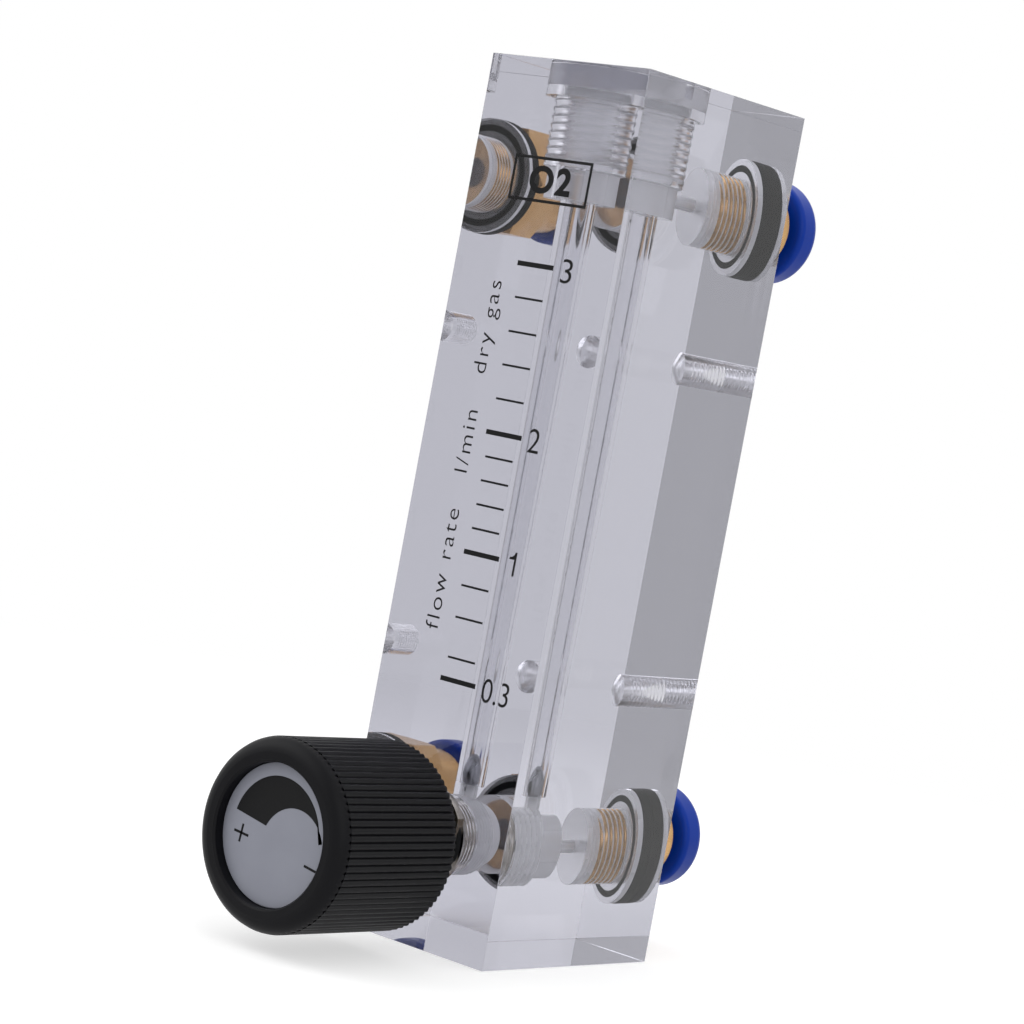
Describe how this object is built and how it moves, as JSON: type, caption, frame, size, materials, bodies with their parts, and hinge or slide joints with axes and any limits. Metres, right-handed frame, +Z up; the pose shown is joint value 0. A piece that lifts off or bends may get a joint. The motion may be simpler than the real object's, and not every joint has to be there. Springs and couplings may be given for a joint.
{
  "type": "oxygen flow meter",
  "caption": "Clear acrylic block flow meter with a float in a tapered bore, a needle valve with a ribbed knob, and push-in tube fittings at the back.",
  "frame": {"origin": "centre of the block's bottom face", "axes": "+Z up along the metering bore, +Y from the knob towards the fittings at the back, +X to the reader's right"},
  "size_m": [0.025, 0.0785, 0.111],
  "materials": {
    "clear_acrylic": "polished clear cast acrylic",
    "clear_silicone": "translucent silicone",
    "float_steel": "turned stainless steel",
    "nickel_plate": "bright nickel plate on brass",
    "stem_steel": "turned stainless steel",
    "brass": "turned brass",
    "black_rubber": "matt nitrile rubber",
    "white_plastic": "moulded acetal",
    "knob_black": "satin moulded ABS",
    "label_grey": "printed polyester film",
    "collar_blue": "moulded acetal, blue"
  },
  "bodies": {
    "meter_body": {"acrylic_block": "clear_acrylic", "top_plug": "clear_acrylic", "top_plug_seal": "clear_silicone", "valve_bushing": "nickel_plate", "bushing_seal": "black_rubber", "inlet_fitting_body": "brass", "inlet_port_seal": "black_rubber", "inlet_tube_seal": "black_rubber", "inlet_seal_spacer": "white_plastic", "inlet_claw_ring": "stem_steel", "inlet_claw_holder": "brass", "outlet_fitting_body": "brass", "outlet_port_seal": "black_rubber", "outlet_tube_seal": "black_rubber", "outlet_seal_spacer": "white_plastic", "outlet_claw_ring": "stem_steel", "outlet_claw_holder": "brass"},
    "float": {"float": "float_steel"},
    "stem_slide": {"stem_oring": "black_rubber"},
    "knob": {"valve_stem": "stem_steel", "knob": "knob_black", "knob_label": "label_grey", "knob_screw": "nickel_plate"},
    "inlet_collar": {"inlet_release_collar": "collar_blue"},
    "outlet_collar": {"outlet_release_collar": "collar_blue"}
  },
  "joints": [
    {"name": "float_rise", "type": "slide", "parent": "meter_body", "child": "float", "axis": [0, 0, 1], "range_m": [0, 0.074]},
    {"name": "stem_travel", "type": "slide", "parent": "meter_body", "child": "stem_slide", "axis": [0, 1, 0], "range_m": [-0.001, 0.0063]},
    {"name": "knob_turn", "type": "hinge", "parent": "stem_slide", "child": "knob", "pos_m": [0, 0, 0.014], "axis": [0, 1, 0], "range_deg": [-361, 2269]},
    {"name": "inlet_collar_press", "type": "slide", "parent": "meter_body", "child": "inlet_collar", "axis": [0, -1, 0], "range_m": [0, 0.0009], "stiffness_N_per_m": 400},
    {"name": "outlet_collar_press", "type": "slide", "parent": "meter_body", "child": "outlet_collar", "axis": [0, -1, 0], "range_m": [0, 0.0009], "stiffness_N_per_m": 400}
  ],
  "couplings": [
    {"joint": "knob_turn", "follows": "stem_travel", "rad_per_m": 6283.2}
  ]
}
